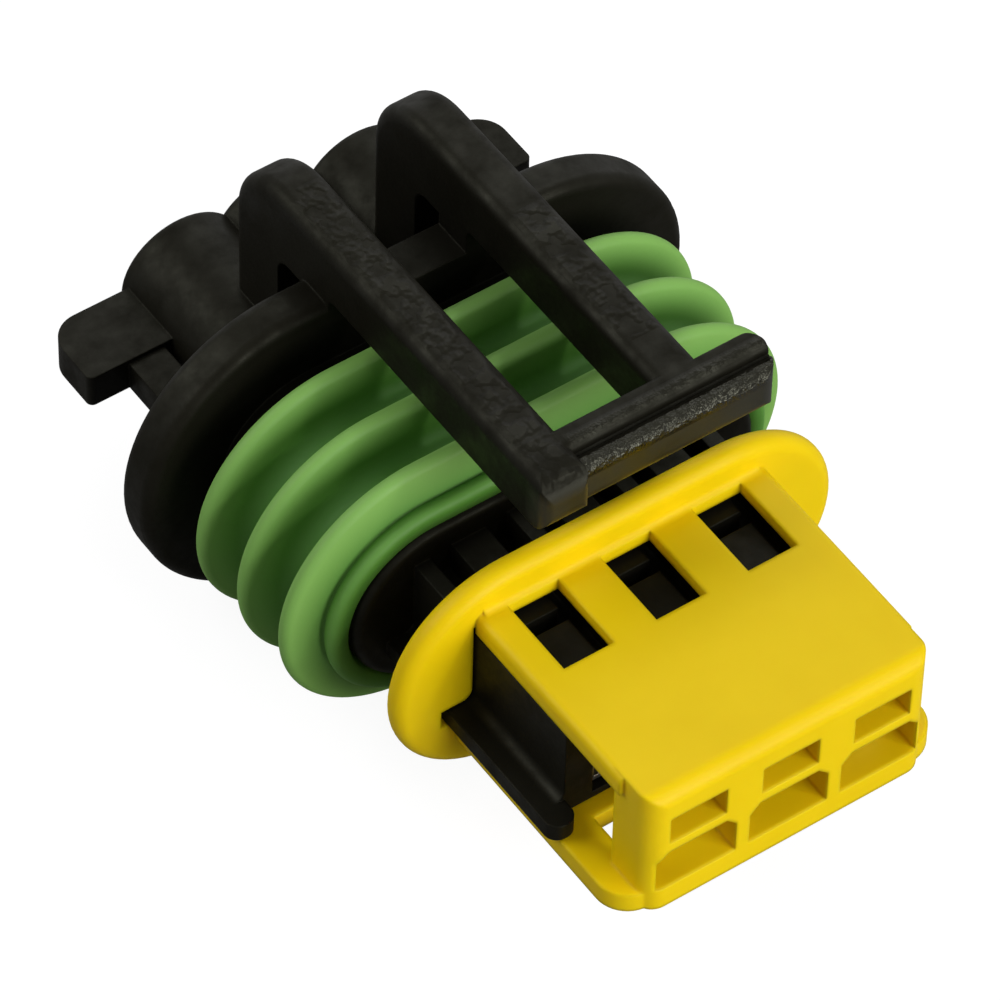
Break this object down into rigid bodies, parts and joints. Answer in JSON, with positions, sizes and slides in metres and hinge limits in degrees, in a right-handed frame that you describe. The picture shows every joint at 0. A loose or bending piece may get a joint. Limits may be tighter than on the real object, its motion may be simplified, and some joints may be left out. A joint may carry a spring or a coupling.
{
  "type": "sealed automotive connector",
  "caption": "Sealed female wiring connector with a ribbed perimeter seal, a top latch and a sliding lock cap over its contacts.",
  "frame": {"origin": "centre of the bottom of the whole connector, in the pictured position of the lock cap", "axes": "+X across the row of cavities, -Y towards the mating half, +Y towards the wires, +Z towards the latch"},
  "size_m": [0.027, 0.0374, 0.0185],
  "materials": {
    "housing": "moulded black nylon, semi-gloss",
    "perimeter_seal": "green silicone, soft sheen",
    "lock_cap": "moulded yellow plastic, semi-gloss",
    "contact": "tin-plated copper alloy",
    "wire_seal": "blue silicone"
  },
  "bodies": {
    "connector": {"housing": "housing", "perimeter_seal": "perimeter_seal", "contact_left": "contact", "contact_middle": "contact", "contact_right": "contact", "wire_seal_left": "wire_seal", "wire_seal_middle": "wire_seal", "wire_seal_right": "wire_seal"},
    "cap": {"lock_cap": "lock_cap"}
  },
  "joints": [
    {"name": "lock_slide", "type": "slide", "parent": "connector", "child": "cap", "axis": [0, 1, 0], "range_m": [0, 0.0029]}
  ]
}
